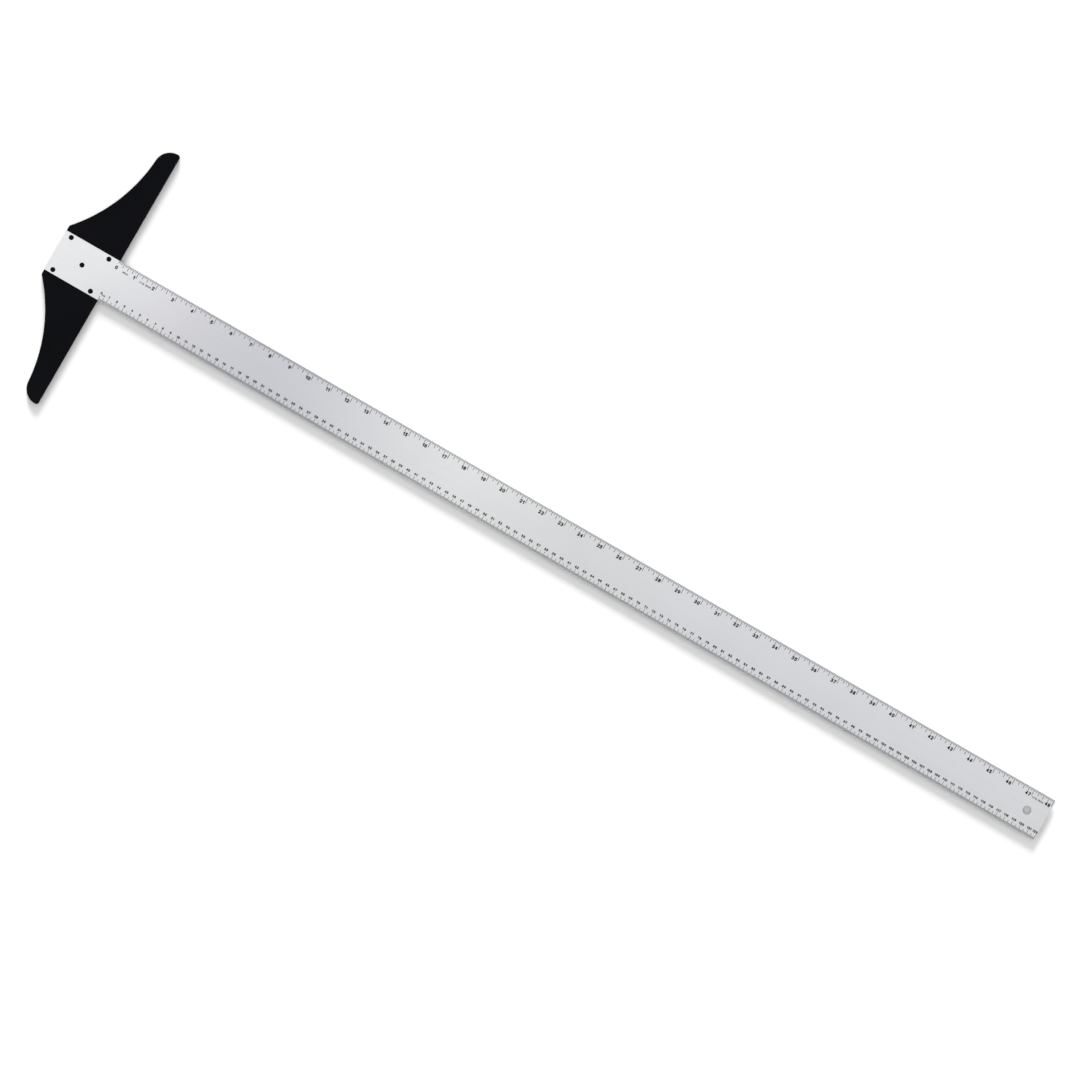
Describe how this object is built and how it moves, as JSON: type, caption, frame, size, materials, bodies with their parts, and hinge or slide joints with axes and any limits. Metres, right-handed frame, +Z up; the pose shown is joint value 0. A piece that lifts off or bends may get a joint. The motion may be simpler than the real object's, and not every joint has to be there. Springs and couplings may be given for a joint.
{
  "type": "t square",
  "caption": "T square: a long flat aluminium blade with a hanging hole, riveted at right angles into the recess of a black moulded head with concave wings.",
  "frame": {"origin": "on the head's working edge, on the blade's centreline and at the height of the blade's underside, where the edge and the top of a drawing board meet", "axes": "+X along the blade from the head to the free end, +Y across the blade to its inch edge, +Z up off the drawing board"},
  "size_m": [1.2908, 0.3242, 0.0074],
  "materials": {
    "blade": "satin",
    "head": "satin",
    "rivet": "satin",
    "washer": "satin",
    "scale_ink": "matte"
  },
  "bodies": {
    "root": {"blade": "blade", "head": "head", "rivet_outer_inch": "rivet", "rivet_inner_inch": "rivet", "rivet_middle": "rivet", "rivet_outer_metric": "rivet", "rivet_inner_metric": "rivet", "washer_outer_inch": "washer", "washer_inner_inch": "washer", "washer_middle": "washer", "washer_outer_metric": "washer", "washer_inner_metric": "washer"}
  },
  "joints": []
}
